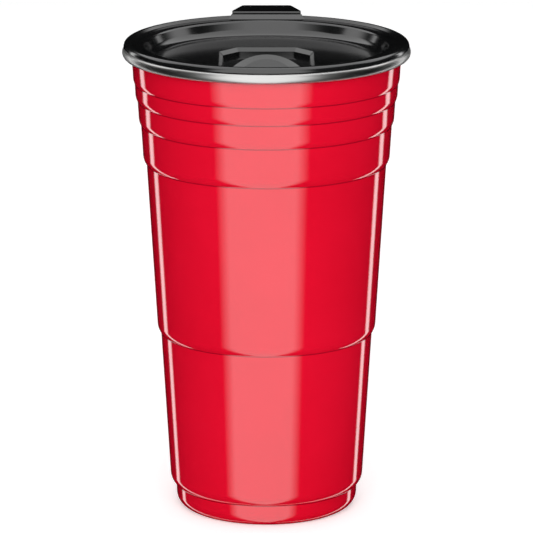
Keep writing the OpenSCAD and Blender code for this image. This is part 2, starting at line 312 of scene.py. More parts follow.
@dataclass(frozen=True)
class RedLacquer(Finish):
    """Baked red lacquer under a clear, glossy top coat, with painted shade along the steps' sharp corners.
    """

    colour: Colour = (0.740, 0.0045, 0.0260, 1.0)
    deep: Colour = (0.690, 0.0035, 0.0215, 1.0)
    # Colour of the painted shade in the steps' corners, then the corners' heights and the band's width
    crease_shade: Colour = (0.320, 0.0015, 0.0120, 1.0)
    shaded_crease_heights: tuple[float, ...] = ()
    crease_shade_w: float = 0.42 * MM

    def sockets(self, bench: Bench) -> dict[str, Value]:
        """Return the lacquer's sockets: cloudy pigment, painted shade along the steps' corners and a faint
        ripple.

        Args:
            bench: The bench of the material.

        Returns:
            Values or wires by socket name.
        """
        place = bench.place()
        height = bench.axes(place)[2]
        clouds = bench.ramp(bench.noise(place, 26.0, 3.0), 0.3, 0.7)
        pigment = bench.noise(place, 5200.0, 1.0)
        body = bench.blend(clouds * 0.7 + pigment * 0.3, self.colour, self.deep)
        # Painted shade: a dark band at each step's corner, where the coat's reflection goes dark
        crease_shading = 1 - bench.ramp(abs(height - self.shaded_crease_heights[0]), 0.0, self.crease_shade_w)
        for level in self.shaded_crease_heights[1:]:
            crease_shading = crease_shading | (1 - bench.ramp(abs(height - level), 0.0, self.crease_shade_w))
        handled = bench.ramp(bench.noise(place, 60.0, 5.0, (1.0, 1.0, 0.4)), 0.45, 0.75)
        return {
            "Base Color": bench.blend(crease_shading, body, self.crease_shade),
            "Roughness": 0.42 + handled * 0.06,
            "Specular IOR Level": 0.0,
            "Coat Weight": 1.0 - handled * 0.02,
            "Coat Roughness": 0.045,
            "Coat IOR": 1.75,
            "Normal": bench.relief(bench.noise(place, 900.0, 2.0), 0.004 * MM, 0.25),
        }


@dataclass(frozen=True)
class TurnedSteel(Finish):
    """Stainless steel with fine marks that run around the axis."""

    bright: Colour = (0.520, 0.520, 0.512, 1.0)
    dull: Colour = (0.450, 0.450, 0.443, 1.0)
    roughness: float = 0.36
    polished_above: float = 1.0
    polished: float = 0.33

    def sockets(self, bench: Bench) -> dict[str, Value]:
        """Return the steel's sockets: rings of fine scratches, and polish above a height.

        Args:
            bench: The bench of the material.

        Returns:
            Values or wires by socket name.
        """
        place = bench.place()
        x, y, z = bench.axes(place)
        ring = (x * x + y * y) ** 0.5 + z
        around = bench.wire("ShaderNodeCombineXYZ", {}, {0: x * 40.0, 1: y * 40.0, 2: ring * 3600.0})
        marks = bench.noise(around, 1.0, 3.0)
        stains = bench.ramp(bench.noise(place, 45.0, 4.0), 0.35, 0.75)
        polish = bench.ramp(z, self.polished_above - 2 * MM, self.polished_above)
        rough = self.roughness + (marks - 0.5) * 0.12 + stains * 0.03
        return {
            "Base Color": bench.blend(marks * 0.7 + stains * 0.3, self.bright, self.dull),
            "Metallic": 1.0,
            "Roughness": rough + polish * (self.polished - rough),
            "Normal": bench.relief(marks, 0.012 * MM, 0.5),
        }


@dataclass(frozen=True)
class SmokePlastic(Finish):
    """Moulded smoke-black plastic with a glossy skin."""

    colour: Colour = (0.0048, 0.0050, 0.0052, 1.0)
    pale: Colour = (0.0090, 0.0094, 0.0096, 1.0)
    roughness: float = 0.13
    sink: float = 0.010 * MM

    def sockets(self, bench: Bench) -> dict[str, Value]:
        """Return the plastic's sockets: slight flow marks, fine scuffs and dust.

        Args:
            bench: The bench of the material.

        Returns:
            Values or wires by socket name.
        """
        place = bench.place()
        flow = bench.ramp(bench.noise(place, 38.0, 3.0), 0.35, 0.7)
        scuffs = bench.ramp(bench.noise(place, 210.0, 4.0, (1.0, 6.0, 1.0)), 0.58, 0.75)
        dust = bench.ramp(bench.noise(place, 3400.0, 1.0), 0.72, 0.80)
        return {
            "Base Color": bench.blend(flow * 0.5 + dust * 0.5, self.colour, self.pale),
            "Roughness": self.roughness + flow * 0.02 + scuffs * 0.05,
            "IOR": 1.68,
            "Normal": bench.relief(bench.noise(place, 120.0, 2.0), self.sink, 0.4),
        }


@dataclass(frozen=True)
class SealSilicone(Finish):
    """Matt grey food-grade silicone."""

    colour: Colour = (0.105, 0.110, 0.115, 1.0)
    chalky: Colour = (0.180, 0.186, 0.190, 1.0)

    def sockets(self, bench: Bench) -> dict[str, Value]:
        """Return the silicone's sockets: a matt skin with a chalky bloom and fine grain.

        Args:
            bench: The bench of the material.

        Returns:
            Values or wires by socket name.
        """
        place = bench.place()
        bloom = bench.ramp(bench.noise(place, 130.0, 5.0), 0.4, 0.75)
        grain = bench.noise(place, 2600.0, 2.0)
        return {
            "Base Color": bench.blend(bloom * 0.6 + grain * 0.2, self.colour, self.chalky),
            "Roughness": 0.55 + bloom * 0.15,
            "IOR": 1.41,
            "Normal": bench.relief(grain, 0.03 * MM, 0.5),
        }


@dataclass(frozen=True)
class SealDrop(Finish):
    """Hardened amber-grey resin that closes the pumping hole."""

    colour: Colour = (0.120, 0.105, 0.085, 1.0)
    edge: Colour = (0.200, 0.185, 0.160, 1.0)

    def sockets(self, bench: Bench) -> dict[str, Value]:
        """Return the resin's sockets: swirls under a smooth skin.

        Args:
            bench: The bench of the material.

        Returns:
            Values or wires by socket name.
        """
        place = bench.place()
        swirl = bench.ramp(bench.noise(place, 900.0, 4.0), 0.35, 0.7)
        return {
            "Base Color": bench.blend(swirl, self.colour, self.edge),
            "Roughness": 0.24 + swirl * 0.1,
            "Normal": bench.relief(bench.noise(place, 1500.0, 1.0), 0.02 * MM, 0.5),
        }


@dataclass(frozen=True)
class GetterMetal(Finish):
    """Dark sintered metal of the getter capsule."""

    colour: Colour = (0.230, 0.220, 0.205, 1.0)
    scale: Colour = (0.110, 0.105, 0.100, 1.0)

    def sockets(self, bench: Bench) -> dict[str, Value]:
        """Return the capsule's sockets: sintered grain with heat marks.

        Args:
            bench: The bench of the material.

        Returns:
            Values or wires by socket name.
        """
        place = bench.place()
        grain = bench.noise(place, 4200.0, 3.0)
        heat = bench.ramp(bench.noise(place, 260.0, 3.0), 0.4, 0.7)
        return {
            "Base Color": bench.blend(heat * 0.5 + grain * 0.5, self.colour, self.scale),
            "Metallic": 0.9,
            "Roughness": 0.45 + grain * 0.2,
            "Normal": bench.relief(grain, 0.05 * MM, 0.6),
        }


class Plane(Enum):
    """The plane that a line is drawn in, as the places of its two axes and the sign of a left turn."""

    SECTION = (0, 2, -1)
    PLAN = (0, 1, 1)
    SIDE = (1, 2, 1)

    def at(self, point: Point, level: float) -> Vector:
        """Return a drawn point in space.

        Args:
            point: The point in the plane, in millimetres.
            level: The plane's place along the third axis.

        Returns:
            The point in space, in millimetres.
        """
        first, second, _ = self.value
        place = Vector((level, level, level))
        place[first] = point[0]
        place[second] = point[1]
        return place

    def axis(self) -> Vector:
        """Find the axis that a left turn in the plane goes round.

        Returns:
            The axis, as long as 1.
        """
        first, second, sign = self.value
        axis = Vector((0.0, 0.0, 0.0))
        axis[3 - first - second] = sign
        return axis


@dataclass(frozen=True)
class Corner:
    """A corner of a drawn line, with the radius that rounds it."""

    u: float
    v: float
    radius: float = 0.0

    def to(self, other: "Corner") -> Vector:
        """Return the unit direction to another corner."""
        return Vector((other.u - self.u, other.v - self.v)).normalized()


class Pen:
    """Draws one line of edges into a mesh, out of straight stretches and arcs."""

    def __init__(self, mesh: bmesh.types.BMesh, plane: Plane, start: Point, level: float = 0.0) -> None:
        """Set the pen down.

        Args:
            mesh: The mesh to draw in.
            plane: The plane to draw in.
            start: The first point.
            level: The plane's place along its third axis.
        """
        self.mesh = mesh
        self.plane = plane
        self.level = level
        self.known = set(mesh.edges)
        self.tip = bmesh.ops.create_vert(mesh, co=plane.at(start, level))["vert"][0]
        self.start = self.tip

    def line(self, point: Point) -> None:
        """Draw a straight stretch.

        Args:
            point: Where it ends.
        """
        target = self.plane.at(point, self.level)
        if (target - self.tip.co).length > SAME_PLACE:
            self.tip = bmesh.ops.extrude_vert_indiv(self.mesh, verts=[self.tip])["verts"][0]
            self.tip.co = target

    def arc(self, centre: Point, degrees: float, steps: int = ARC_STEPS) -> None:
        """Draw an arc from the tip.

        Args:
            centre: The arc's centre.
            degrees: Its sweep, where a left turn is positive.
            steps: The number of its edges.
        """
        swept = bmesh.ops.spin(
            self.mesh, geom=[self.tip], cent=self.plane.at(centre, self.level), axis=self.plane.axis(),
            angle=math.radians(degrees), steps=steps)
        self.tip = next(item for item in swept["geom_last"] if isinstance(item, bmesh.types.BMVert))

    def round(self, before: Corner, corner: Corner, after: Corner) -> None:
        """Draw up to a corner and around it.

        Args:
            before: The corner before it.
            corner: The corner to round.
            after: The corner after it.
        """
        if corner.radius == 0.0:
            self.line((corner.u, corner.v))
            return
        back, ahead = corner.to(before), corner.to(after)
        half = back.angle(ahead) / 2
        point = Vector((corner.u, corner.v))
        enter = point + back * corner.radius / math.tan(half)
        centre = point + (back + ahead).normalized() * corner.radius / math.sin(half)
        turn = 180.0 - 2 * math.degrees(half)
        side = back.x * ahead.y - back.y * ahead.x
        self.line((enter.x, enter.y))
        self.arc((centre.x, centre.y), -turn if side > 0 else turn)

    def path(self, corners: Sequence[Corner]) -> None:
        """Draw an open line through corners, from the first to the last.

        Args:
            corners: The corners, of which the first and the last stay sharp.
        """
        self.line((corners[0].u, corners[0].v))
        for before, corner, after in zip(corners, corners[1:], corners[2:]):
            self.round(before, corner, after)
        self.line((corners[-1].u, corners[-1].v))

    def close(self) -> list[bmesh.types.BMEdge]:
        """Join the line's ends.

        Returns:
            The edges of the closed line.
        """
        if (self.tip.co - self.start.co).length > SAME_PLACE:
            self.mesh.edges.new((self.tip, self.start))
            return self.edges()
        bmesh.ops.pointmerge(self.mesh, verts=[self.tip, self.start], merge_co=self.start.co)
        return self.edges()

    def edges(self) -> list[bmesh.types.BMEdge]:
        """Return the edges drawn so far."""
        return [edge for edge in self.mesh.edges if edge not in self.known]


class Blank:
    """One body of a piece while it is shaped, in millimetres."""

    def __init__(self) -> None:
        """Start with an empty mesh."""
        self.mesh = bmesh.new()

    def loop(self, plane: Plane, corners: Sequence[Corner], level: float = 0.0) -> list[bmesh.types.BMEdge]:
        """Draw a closed outline.

        Args:
            plane: The plane to draw in.
            corners: The outline's corners.
            level: The plane's place along its third axis.

        Returns:
            The outline's edges.
        """
        last, first = corners[-1], corners[0]
        middle = ((last.u + first.u) / 2, (last.v + first.v) / 2)
        pen = Pen(self.mesh, plane, middle, level)
        for before, corner, after in zip((last, *corners), corners, (*corners[1:], first)):
            pen.round(before, corner, after)
        return pen.close()

    def lathe(self, steps: int = LATHE_STEPS) -> None:
        """Spin everything drawn around the cup's axis and close its poles.

        Args:
            steps: The number of segments.
        """
        bmesh.ops.spin(
            self.mesh, geom=self.mesh.verts[:] + self.mesh.edges[:], cent=(0, 0, 0), axis=(0, 0, 1),
            angle=2 * math.pi, steps=steps, use_merge=True)
        self.tidy()

    def tidy(self) -> None:
        """Merge doubles and point the faces outwards."""
        bmesh.ops.remove_doubles(self.mesh, verts=self.mesh.verts, dist=SAME_PLACE)
        bmesh.ops.dissolve_degenerate(self.mesh, edges=self.mesh.edges, dist=SLIVER)
        bmesh.ops.recalc_face_normals(self.mesh, faces=self.mesh.faces)

    def sink(self, loop: Sequence[bmesh.types.BMEdge], depth: float) -> list[bmesh.types.BMEdge]:
        """Draw walls down from a loop of edges.

        Args:
            loop: The edges at the top.
            depth: How far down the walls go.

        Returns:
            The edges at the bottom.
        """
        made = bmesh.ops.extrude_edge_only(self.mesh, edges=list(loop))["geom"]
        low = {item for item in made if isinstance(item, bmesh.types.BMVert)}
        bmesh.ops.translate(self.mesh, verts=list(low), vec=(0, 0, -depth))
        return [item for item in made if isinstance(item, bmesh.types.BMEdge) and set(item.verts) <= low]

    def fill(self, *loops: Sequence[bmesh.types.BMEdge]) -> None:
        """Close the flat area between loops of edges.

        Args:
            loops: The outer outline and the holes in it.
        """
        edges = [edge for loop in loops for edge in loop]
        bmesh.ops.triangle_fill(self.mesh, edges=edges, use_beauty=True, normal=(0, 0, 1))

    def extrude(self, outline: Sequence[bmesh.types.BMEdge], along: tuple[float, float, float]) -> None:
        """Make a solid out of an outline.

        Args:
            outline: The closed outline.
            along: How far it goes.
        """
        face = bmesh.ops.contextual_create(self.mesh, geom=list(outline))["faces"]
        made = bmesh.ops.extrude_face_region(self.mesh, geom=face, use_keep_orig=True)["geom"]
        moved = [item for item in made if isinstance(item, bmesh.types.BMVert)]
        bmesh.ops.translate(self.mesh, verts=moved, vec=along)
        self.tidy()

    def cut(self, place: tuple[float, float, float], outwards: tuple[float, float, float]) -> None:
        """Cut away what lies outside a plane, and close the cut.

        Args:
            place: A point on the plane.
            outwards: The plane's direction towards what goes.
        """
        everything = self.mesh.verts[:] + self.mesh.edges[:] + self.mesh.faces[:]
        bmesh.ops.bisect_plane(
            self.mesh, geom=everything, plane_co=place, plane_no=outwards, clear_outer=True,
            dist=SAME_PLACE)
        bmesh.ops.holes_fill(self.mesh, edges=[edge for edge in self.mesh.edges if edge.is_boundary])
        self.tidy()

    def soften(self, width: float, segments: int = 3, sharper: float = 35.0) -> None:
        """Round the edges that turn sharply.

        Args:
            width: The width of the rounding.
            segments: The faces across it.
            sharper: The least turn of a rounded edge, in degrees.
        """
        limit = math.radians(sharper)
        edges = [edge for edge in self.mesh.edges if edge.is_manifold and edge.calc_face_angle(0.0) > limit]
        bmesh.ops.bevel(
            self.mesh, geom=edges, offset=width, offset_type="OFFSET", segments=segments, profile=0.5,
            affect="EDGES", clamp_overlap=True, material=-1)
        self.tidy()

    def ring(self, radius: float, height: float) -> list[bmesh.types.BMEdge]:
        """Find an open circle of edges about the axis.

        Args:
            radius: The circle's radius.
            height: Its height.

        Returns:
            Its edges.
        """
        def on_it(corner: bmesh.types.BMVert) -> bool:
            """Tell whether a vertex lies on the circle."""
            off = max(abs(corner.co.xy.length - radius), abs(corner.co.z - height))
            return off < TURNED_NEAR

        return [edge for edge in self.mesh.edges if edge.is_boundary and all(map(on_it, edge.verts))]


class Rider(Enum):
    """The bodies that pieces ride on."""

    CUP = "cup"
    LID = "lid"
    SLIDER = "slider"


@dataclass(frozen=True)
class Maker:
    """Turns shaped blanks into a finished piece of one body."""

    rider: Rider
    crease: float = 38.0

    def piece(self, name: str, blanks: Sequence[Blank], finish: Finish, nodes: Sequence[str],
              sheet: float = 0.0) -> bpy.types.Object:
        """Make one piece.

        Args:
            name: The piece's name.
            blanks: The bodies that it is made of.
            finish: Its finish.
            nodes: The CAD nodes that it stands for.
            sheet: The thickness of sheet metal behind its faces, in millimetres.

        Returns:
            The piece.
        """
        whole = bmesh.new()
        for blank in blanks:
            part = bpy.data.meshes.new("part")
            blank.mesh.to_mesh(part)
            whole.from_mesh(part)
            blank.mesh.free()
            bpy.data.meshes.remove(part)
        bmesh.ops.scale(whole, verts=whole.verts, vec=(MM, MM, MM))
        mesh = bpy.data.meshes.new(name)
        whole.to_mesh(mesh)
        whole.free()
        mesh.shade_smooth()
        mesh.set_sharp_from_angle(angle=math.radians(self.crease))
        mesh.materials.append(finish.material())
        made = bpy.data.objects.new(name, mesh)
        bpy.context.collection.objects.link(made)
        if sheet:
            wall = made.modifiers.new("sheet", "SOLIDIFY")
            wall.thickness = sheet * MM
            wall.offset = -1.0
            wall.use_even_offset = False
            wall.use_rim = True
        even = made.modifiers.new("even shading", "WEIGHTED_NORMAL")
        even.mode = "FACE_AREA_WITH_ANGLE"
        even.keep_sharp = True
        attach(made, self.rider.value)
        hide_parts(*nodes)
        log.info("%s: %d faces, rides on %s, stands for %s", name, len(mesh.polygons), self.rider.value,
                 ", ".join(nodes))
        return made


def dress_node(name: str, finish: Finish) -> None:
    """Give a CAD node that stays its finish.

    Args:
        name: The node's name.
        finish: The finish.
    """
    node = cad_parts[name]
    for place in node.material_slots:
        place.material = finish.material()
    log.info("%s: kept, with %s", name, finish.name)


@dataclass(frozen=True)
class Cup:
    """The double-wall steel cup. Sizes in millimetres, with the foot on the ground."""

    height: float = 171.2
    rim_d: float = 103.8
    sheet: float = 0.6
    taper: float = 3.45
    shoulder: float = 5.2
    vacuum: float = 1.0
    steps_down: tuple[float, ...] = (13.4, 19.9, 28.6, 43.0)
    steps_up: tuple[float, ...] = (65.5, 8.2)
    ledges: tuple[float, ...] = (0.41, 0.63, 0.66, 1.06, 1.1, 1.8)
    roll: float = 2.1
    lip: float = 4.2
    tuck: float = 1.25
    wall_stop: float = 2.5
    mouth_depth: float = 13.6
    mouth_step: float = 4.6
    mouth_round: float = 4.0
    base_round: float = 4.6
    foot_w: float = 6.6
    foot_round: float = 1.2
    recess: float = 3.2
    cap_flange: float = 2.2
    floor_up: float = 7.2
    floor_round: float = 7.0
    pump_hole: float = 2.4

    @property
    def slope(self) -> float:
        """Return the wall's run for each millimetre of height."""
        return math.tan(math.radians(self.taper))

    @property
    def roll_centre(self) -> Point:
        """Return the centre of the rolled rim."""
        return self.rim_d / 2 - self.roll, self.height - self.roll

    @property
    def lip_centre(self) -> Point:
        """Return the centre of the lip's inner curve."""
        return self.roll_centre[0], self.height - self.lip

    @property
    def mouth_r(self) -> float:
        """Return the radius of the straight mouth."""
        return self.roll_centre[0] - self.lip

    @property
    def wall_top(self) -> Point:
        """Return the outer wall's top edge."""
        return self.roll_centre[0] - self.tuck, self.height - self.wall_stop

    @property
    def step_heights(self) -> tuple[float, ...]:
        """Return the heights of the steps, from the top down."""
        return tuple(self.height - down for down in self.steps_down) + self.steps_up

    @property
    def foot_r(self) -> float:
        """Return the radius of the foot."""
        return self.wall_r(0.0, len(self.ledges))

    @property
    def recess_r(self) -> float:
        """Return the radius of the recess under the cup."""
        return self.foot_r - self.foot_w

    def wall_r(self, height: float, above: int) -> float:
        """Return the outer wall's radius.

        Args:
            height: Where it is measured.
            above: The number of steps above that place.

        Returns:
            The radius.
        """
        top_r, top_z = self.wall_top
        return top_r - (top_z - height) * self.slope - sum(self.ledges[:above])

    def liner_r(self, height: float) -> float:
        """Return the inner wall's radius.

        Args:
            height: Where it is measured.

        Returns:
            The radius.
        """
        above = len(self.steps_down)
        upper, lower = self.step_heights[above - 1], self.step_heights[above]
        high, low = self.wall_r(upper, above), self.wall_r(lower, above + 1)
        return low - 2 * self.sheet - self.vacuum + (height - lower) * (high - low) / (upper - lower)

    def draw_shoulder(self, pen: Pen, step: int) -> None:
        """Draw the wall down to a step and the rounded shoulder into its sharp corner.

        Args:
            pen: The pen, above the step.
            step: The step's number from the top.
        """
        tilt = math.radians(self.taper)
        out = Vector((math.cos(tilt), -math.sin(tilt)))
        up = Vector((math.sin(tilt), math.cos(tilt)))
        ledge = self.ledges[step] * math.cos(tilt)
        corner = Vector((self.wall_r(self.step_heights[step], step + 1), self.step_heights[step]))
        run = math.sqrt(2 * self.shoulder * ledge - ledge * ledge)
        centre = corner + run * up - (self.shoulder - ledge) * out
        enter = centre + self.shoulder * out
        pen.line((enter.x, enter.y))
        pen.arc((centre.x, centre.y), -math.degrees(math.asin(run / self.shoulder)), steps=6)

    def build_shell(self, maker: Maker, finish: Finish) -> None:
        """Build the lacquered outer shell.

        Args:
            maker: Makes the piece.
            finish: Its finish.
        """
        shell = Blank()
        pen = Pen(shell.mesh, Plane.SECTION, self.wall_top)
        for step in range(len(self.ledges)):
            self.draw_shoulder(pen, step)
        pen.path([
            Corner(self.wall_r(self.step_heights[-1], len(self.ledges)), self.step_heights[-1]),
            Corner(self.foot_r, 0.0, self.base_round),
            Corner(self.recess_r, 0.0, self.foot_round),
            Corner(self.recess_r, self.recess),
        ])
        shell.lathe()
        maker.piece("cup_shell", [shell], finish, ["outer_shell"], self.sheet)

    def build_liner(self, maker: Maker, finish: Finish) -> None:
        """Build the bare liner with its rolled rim.

        Args:
            maker: Makes the piece.
            finish: Its finish.
        """
        tilt = math.radians(self.taper)
        out = Vector((math.cos(tilt), -math.sin(tilt)))
        up = Vector((math.sin(tilt), math.cos(tilt)))
        centre = Vector(self.roll_centre)
        inset = (centre - Vector(self.wall_top)).dot(out)
        foot = centre - inset * out - math.sqrt(self.roll ** 2 - inset ** 2) * up
        sweep = 90.0 - math.degrees(math.atan2(foot.y - centre.y, foot.x - centre.x))
        liner = Blank()
        pen = Pen(liner.mesh, Plane.SECTION, (foot.x, foot.y))
        pen.arc(self.roll_centre, sweep, steps=24)
        pen.arc(self.lip_centre, 90.0, steps=12)
        mouth_end = self.height - self.mouth_depth
        cone_top = mouth_end - self.mouth_step
        pen.path([
            Corner(self.mouth_r, self.lip_centre[1]),
            Corner(self.mouth_r, mouth_end, self.mouth_round),
            Corner(self.liner_r(cone_top), cone_top, self.mouth_round),
            Corner(self.liner_r(self.floor_up), self.floor_up, self.floor_round),
            Corner(0.0, self.floor_up),
        ])
        liner.lathe()
        maker.piece("cup_liner", [liner], finish, ["inner_liner"], self.sheet)

    def build_base(self, maker: Maker, finish: Finish) -> None:
        """Build the bottom cap with its flange and pumping hole.

        Args:
            maker: Makes the piece.
            finish: Its finish.
        """
        cap = Blank()
        pen = Pen(cap.mesh, Plane.SECTION, (self.pump_hole / 2, self.recess))
        low = self.recess - self.cap_flange
        inner = self.recess_r - self.sheet
        pen.path([
            Corner(self.pump_hole / 2, self.recess),
            Corner(self.recess_r, self.recess),
            Corner(self.recess_r, low, self.sheet / 4),
            Corner(inner, low, self.sheet / 4),
            Corner(inner, self.recess - self.sheet, self.sheet),
            Corner(self.pump_hole / 2, self.recess - self.sheet),
        ])
        pen.close()
        cap.lathe(steps=128)
        maker.piece("bottom_cap", [cap], finish, ["base_cap"])

    def build(self) -> None:
        """Build and dress the cup's pieces."""
        maker = Maker(Rider.CUP)
        # Heights of the painted shade bands: the steps' corners
        shaded_creases = tuple(height * MM for height in self.step_heights)
        lacquer = RedLacquer("red lacquer", "red_lacquer", shaded_crease_heights=shaded_creases)
        roll_foot = (self.height - 2 * self.roll) * MM
        steel = TurnedSteel("turned steel", "bare_steel", polished_above=roll_foot)
        self.build_shell(maker, lacquer)
        self.build_liner(maker, steel)
        self.build_base(maker, TurnedSteel("bottom steel", "bare_steel", roughness=0.32))
        dress_node("getter", GetterMetal("getter metal", "getter_metal"))
        dress_node("seal_bead", SealDrop("seal resin", "sealing_resin"))


@dataclass(frozen=True)
class Closure:
    """The sliding closure and its pocket in the lid. Sizes in millimetres, closed."""

    front: float
    pocket_z: float
    pocket_w: float = 31.6
    pocket_len: float = 51.0
    corner_len: float = 7.0
    corner_w: float = 5.8
    front_round: float = 5.0
    rear_round: float = 1.2
    floor_t: float = 1.5
    side_gap: float = 0.3
    slide_gap: float = 0.2
    plate_len: float = 34.9
    plate_t: float = 1.5
    drink_w: float = 20.0
    drink_len: float = 6.0
    drink_front: float = 0.9
    web: float = 2.3
    stem_w: float = 5.0
    stem_len: float = 6.0
    grip_r: float = 20.4
    grip_h: float = 4.8
    grip_t: float = 4.0
    grip_lean: float = 2.5
    grip_fall: float = 30.0
    grip_front: float = 15.0
    clip_t: float = 1.4
    clip_rim: float = 3.0
    head_rim: float = 0.9
    head_t: float = 0.8
    edge: float = 0.35
    grip_edge: float = 0.6

    @property
    def plate_z(self) -> float:
        """Return the height of the plate's underside."""
        return self.pocket_z + self.slide_gap

    @property
    def stem_y(self) -> float:
        """Return the front of the stem."""
        return self.front + self.drink_front + self.drink_len + self.web + self.side_gap

    @property
    def clip_z(self) -> float:
        """Return the height of the clip's underside."""
        return self.pocket_z - self.floor_t - self.slide_gap - self.clip_t

    @property
    def travel(self) -> float:
        """Return how far the closure slides."""
        return self.pocket_len - 2 * self.side_gap - self.plate_len

    def outline(self, start: float, end: float, half: float, grow: float = 0.0) -> list[Corner]:
        """Return the outline of the pocket or the plate, square in front and cut at its rear corners.

        Args:
            start: Its front.
            end: Its rear.
            half: Half of its width.
            grow: How far it is moved outwards all round.

        Returns:
            The outline's corners.
        """
        cut = math.hypot(self.corner_len, self.corner_w)
        shoulder = end - self.corner_len + grow * (cut - self.corner_len) / self.corner_w
        narrow = half - self.corner_w + grow * (cut - self.corner_w) / self.corner_len
        wide = half + grow
        return [
            Corner(-wide, start - grow, self.front_round + grow),
            Corner(wide, start - grow, self.front_round + grow),
            Corner(wide, shoulder, self.rear_round),
            Corner(narrow, end + grow, self.rear_round),
            Corner(-narrow, end + grow, self.rear_round),
            Corner(-wide, shoulder, self.rear_round),
        ]

    @staticmethod
    def racetrack(half: float, start: float, end: float, radius: float) -> list[Corner]:
        """Return a slot with round ends.

        Args:
            half: Half of its width.
            start: Its front.
            end: Its rear.
            radius: The radius of its ends.

        Returns:
            Its corners.
        """
        bend = radius * ROUND_END
        return [
            Corner(-half, start, bend),
            Corner(half, start, bend),
            Corner(half, end, bend),
            Corner(-half, end, bend),
        ]

    def drink_slot(self) -> list[Corner]:
        """Return the outline of the drinking slot."""
        start = self.front + self.drink_front
        return self.racetrack(self.drink_w / 2, start, start + self.drink_len, self.drink_len / 2)

    def guide_slot(self) -> list[Corner]:
        """Draw the slot that guides the stem over the whole travel.

        Returns:
            Its corners.
        """
        half = self.stem_w / 2 + self.side_gap
        end = self.stem_y + self.stem_len + self.travel + self.side_gap
        return self.racetrack(half, self.stem_y - self.side_gap, end, half)

    def stem(self, rim: float) -> list[Corner]:
        """Return the outline of the stem with a rim around it.

        Args:
            rim: The rim's width.

        Returns:
            The outline's corners.
        """
        half = self.stem_w / 2 + rim
        return self.racetrack(half, self.stem_y - rim, self.stem_y + self.stem_len + rim, half)

    def build_plate(self) -> Blank:
        """Build the flat plate that covers the drinking slot.

        Returns:
            The plate.
        """
        plate = Blank()
        start = self.front + self.side_gap
        shape = self.outline(start, start + self.plate_len, self.pocket_w / 2 - self.side_gap)
        plate.extrude(plate.loop(Plane.PLAN, shape, self.plate_z), (0, 0, self.plate_t))
        plate.soften(self.edge)
        return plate

    def build_grip(self) -> Blank:
        """Build the arched thumb grip, whose top falls and whose face leans back.

        Returns:
            The grip.
        """
        grip = Blank()
        low = self.plate_z + self.plate_t / 2
        foot = self.plate_z + self.plate_t
        front = self.front + self.side_gap + self.grip_front
        back = front + self.grip_t
        fall = math.radians(self.grip_fall)
        pen = Pen(grip.mesh, Plane.SECTION, (-self.grip_r, 0.0), -self.grip_r)
        pen.arc((0.0, 0.0), -180.0, steps=72)
        grip.extrude(pen.close(), (0, 2 * self.grip_r, 0))
        tilt = Matrix.Rotation(fall, 3, "X")
        bmesh.ops.rotate(grip.mesh, verts=grip.mesh.verts, cent=(0, 0, 0), matrix=tilt)
        shift = (0, back, foot + self.grip_h - self.grip_r / math.cos(fall))
        bmesh.ops.translate(grip.mesh, verts=grip.mesh.verts, vec=shift)
        grip.cut((0, back, low), (0, 1, 0))
        grip.cut((0, front, foot), (0, -self.grip_h, self.grip_lean))
        grip.cut((0, back, low), (0, 0, -1))
        grip.soften(self.grip_edge, segments=4, sharper=20.0)
        return grip

    def build_stem(self) -> list[Blank]:
        """Build the stem and the head that its clip holds on.

        Returns:
            The stem and the head.
        """
        stem = Blank()
        top = self.plate_z + self.plate_t / 2
        stem.extrude(stem.loop(Plane.PLAN, self.stem(0.0), self.clip_z), (0, 0, top - self.clip_z))
        head = Blank()
        below = self.clip_z - self.head_t
        head.extrude(head.loop(Plane.PLAN, self.stem(self.head_rim), below), (0, 0, self.head_t))
        head.soften(self.edge / 2)
        return [stem, head]

    def build(self, finish: Finish) -> None:
        """Build the closure and its clip.

        Args:
            finish: The finish of both.
        """
        maker = Maker(Rider.SLIDER)
        blanks = [self.build_plate(), self.build_grip(), *self.build_stem()]
        maker.piece("closure_slide", blanks, finish, ["slider"])
        clip = Blank()
        half = self.stem_w / 2 + self.clip_rim
        low, high = self.stem_y - self.clip_rim, self.stem_y + self.stem_len + self.clip_rim
        shape = self.racetrack(half, low, high, self.clip_rim / 2)
        rim = clip.loop(Plane.PLAN, shape, self.clip_z + self.clip_t)
        hole = clip.loop(Plane.PLAN, self.stem(0.0), self.clip_z + self.clip_t)
        clip.fill(rim, hole)
        clip.fill(clip.sink(rim, self.clip_t), clip.sink(hole, self.clip_t))
        clip.tidy()
        maker.piece("closure_clip", [clip], finish, ["slider_clip"])


